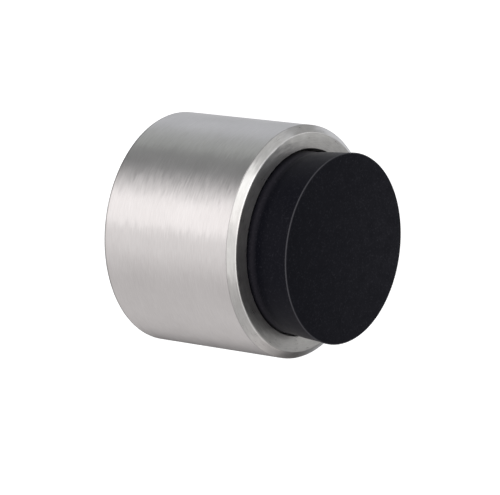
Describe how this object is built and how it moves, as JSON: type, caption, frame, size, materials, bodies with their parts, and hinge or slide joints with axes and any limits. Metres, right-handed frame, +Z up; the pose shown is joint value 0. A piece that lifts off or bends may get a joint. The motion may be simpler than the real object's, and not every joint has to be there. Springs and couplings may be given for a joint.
{
  "type": "wall-mounted door stop",
  "caption": "Round satin steel cup with a black rubber buffer in its mouth, locked by a grub screw on a concealed hub that a screw fixes to the wall.",
  "frame": {"origin": "where the axis of the stop meets the wall plane that its cup and hub are fixed against", "axes": "+Y along the axis of the stop, into the wall; the rubber faces -Y, into the room; +Z is up, and the grub screw is underneath"},
  "size_m": [0.04, 0.0501, 0.04],
  "materials": {
    "satin_steel": "satin, finely brushed round the axis",
    "black_rubber": "matt moulded rubber",
    "brass": "turned",
    "plated_steel": "bright zinc plate",
    "fastener_steel": "plain stainless",
    "turned_aluminium": "turned"
  },
  "bodies": {
    "wall_side": {"mounting_hub": "turned_aluminium", "wall_screw": "plated_steel"},
    "cover": {"cup_body": "satin_steel", "buffer_insert": "brass", "buffer_screw": "plated_steel", "lock_washer": "plated_steel"},
    "buffer": {"rubber_buffer": "black_rubber"},
    "grub": {"grub_screw": "fastener_steel"}
  },
  "joints": [
    {"name": "cover_pull_off", "type": "slide", "parent": "wall_side", "child": "cover", "axis": [0, -1, 0], "range_m": [0, 0.016]},
    {"name": "buffer_press", "type": "slide", "parent": "cover", "child": "buffer", "axis": [0, 1, 0], "range_m": [0, 0.0015], "stiffness_N_per_m": 40000},
    {"name": "grub_screw_travel", "type": "slide", "parent": "cover", "child": "grub", "axis": [0, 0, -1], "range_m": [0, 0.003]}
  ]
}
